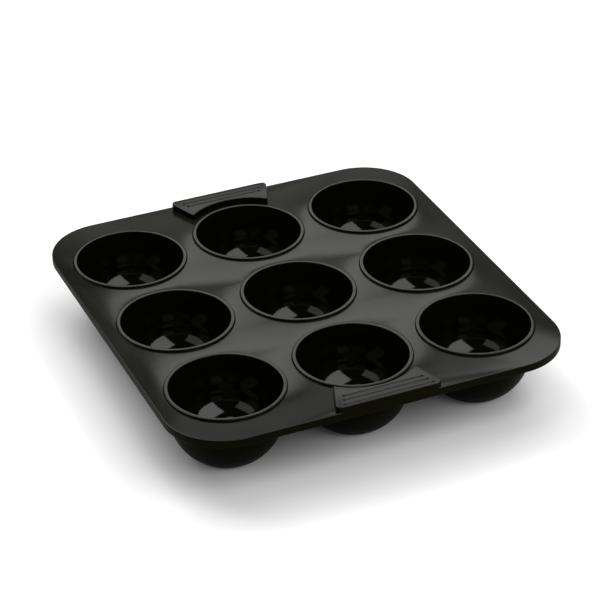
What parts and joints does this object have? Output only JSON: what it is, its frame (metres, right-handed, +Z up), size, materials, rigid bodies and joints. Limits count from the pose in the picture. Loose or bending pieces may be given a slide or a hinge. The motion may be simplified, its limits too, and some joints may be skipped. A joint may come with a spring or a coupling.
{
  "type": "silicone muffin mould",
  "caption": "Flat black silicone tray with deep round muffin cups, raised lips, grooved grip pads on two edges and a steel wire in its rim.",
  "frame": {"origin": "on the surface it stands on, under the centre of the middle cup", "axes": "+Z up, out of the cups' mouths; +Y from the front grip to the back grip; +X to the right"},
  "size_m": [0.2048, 0.2184, 0.0384],
  "materials": {
    "tray_silicone": "smooth satin silicone",
    "cup_silicone": "smooth glossy silicone",
    "grip_silicone": "smooth satin silicone",
    "frame_steel": "drawn wire"
  },
  "bodies": {
    "root": {"tray_plate": "tray_silicone", "cup_front_left": "cup_silicone", "cup_front_centre": "cup_silicone", "cup_front_right": "cup_silicone", "cup_middle_left": "cup_silicone", "cup_middle_centre": "cup_silicone", "cup_middle_right": "cup_silicone", "cup_back_left": "cup_silicone", "cup_back_centre": "cup_silicone", "cup_back_right": "cup_silicone", "front_grip": "grip_silicone", "back_grip": "grip_silicone", "rim_frame": "frame_steel"}
  },
  "joints": []
}
